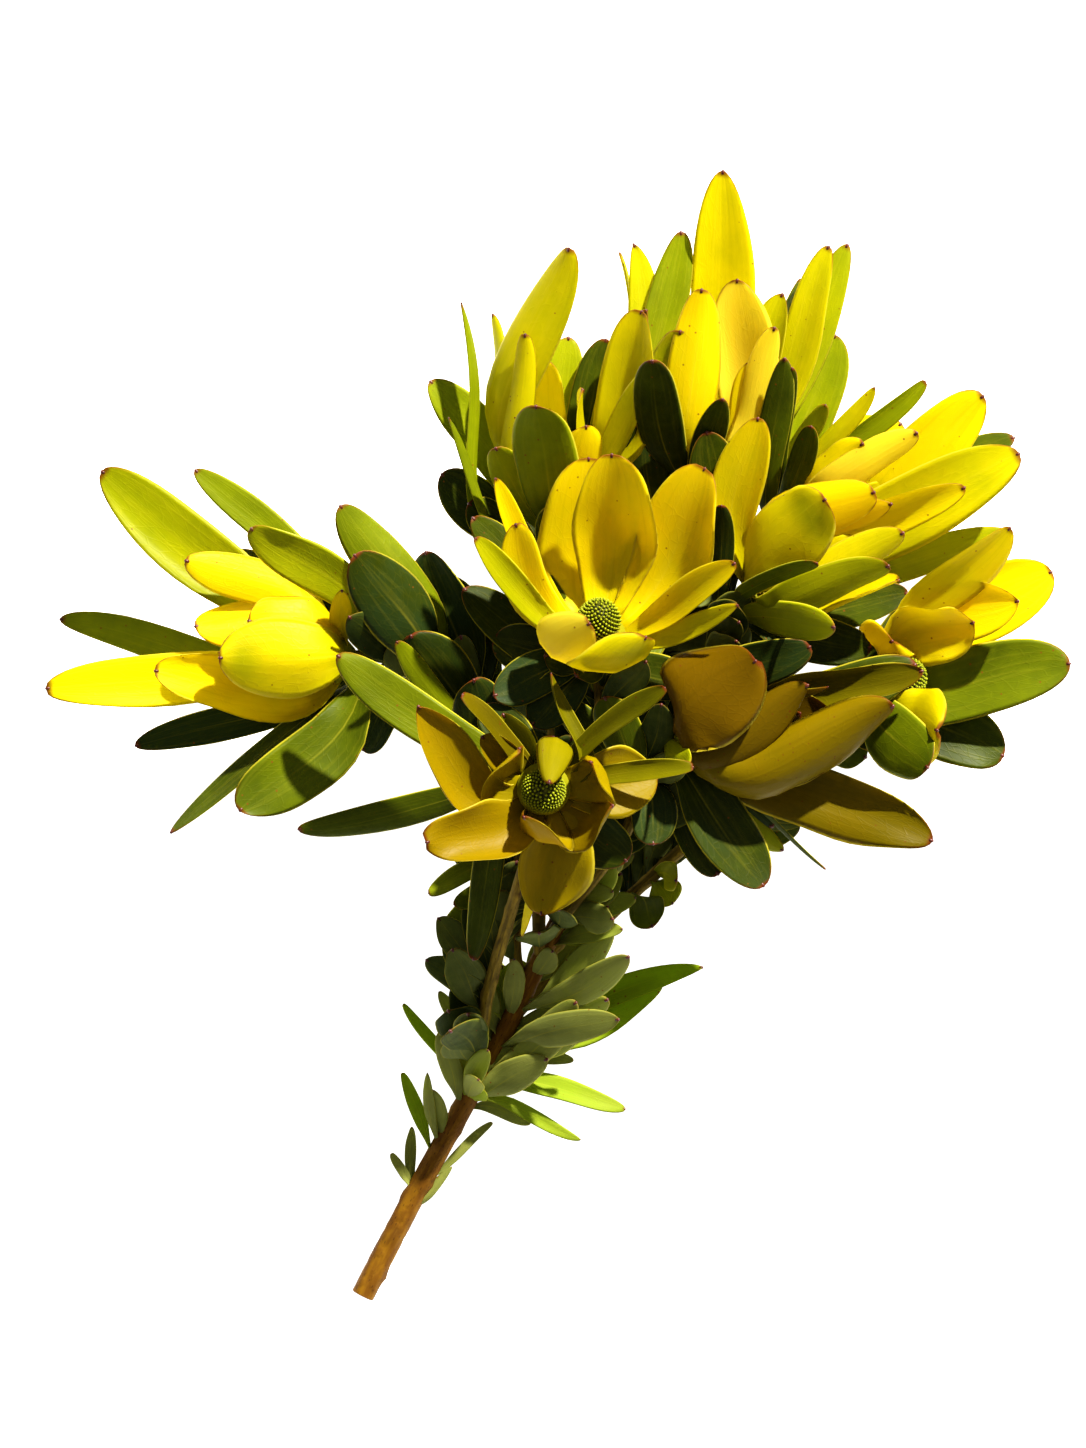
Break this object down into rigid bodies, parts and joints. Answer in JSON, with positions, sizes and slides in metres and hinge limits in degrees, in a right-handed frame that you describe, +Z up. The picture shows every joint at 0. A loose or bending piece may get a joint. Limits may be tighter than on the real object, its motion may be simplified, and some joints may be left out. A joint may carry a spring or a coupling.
{
  "type": "leucadendron stem",
  "caption": "Cut branched leucadendron stem lying on its side, with leafy branches and yellow-bracted flower heads round green cones.",
  "frame": {"origin": "centre of the bounding box's bottom, on the surface that the stem lies on", "axes": "+Y runs from the cut end to the flowers, +Z is up from the surface, and +X is to the right of someone who looks down with +Y ahead"},
  "size_m": [0.41, 0.4541, 0.136],
  "materials": {
    "bark": "orange-brown woody stem with dark flecks, matt",
    "leaf": "leathery olive to lime green leaves with fine lengthwise veins and dark red tips",
    "bract": "smooth satin yellow bracts, translucent in the light",
    "cone": "packed green florets, matt"
  },
  "bodies": {
    "root": {"main_stem": "bark", "branch_left": "leaf", "branch_upper_left": "leaf", "branch_top": "leaf", "branch_upper_right": "leaf", "branch_right": "leaf", "branch_far_right": "leaf", "branch_lower_right": "leaf", "branch_centre": "leaf", "branch_lower_front": "leaf", "bracts_left": "bract", "bracts_upper_left": "bract", "bracts_top": "bract", "bracts_upper_right": "bract", "bracts_right": "bract", "bracts_far_right": "bract", "bracts_lower_right": "bract", "bracts_centre": "bract", "bracts_lower_front": "bract", "cone_left": "cone", "cone_upper_left": "cone", "cone_top": "cone", "cone_upper_right": "cone", "cone_right": "cone", "cone_far_right": "cone", "cone_lower_right": "cone", "cone_centre": "cone", "cone_lower_front": "cone"}
  },
  "joints": []
}
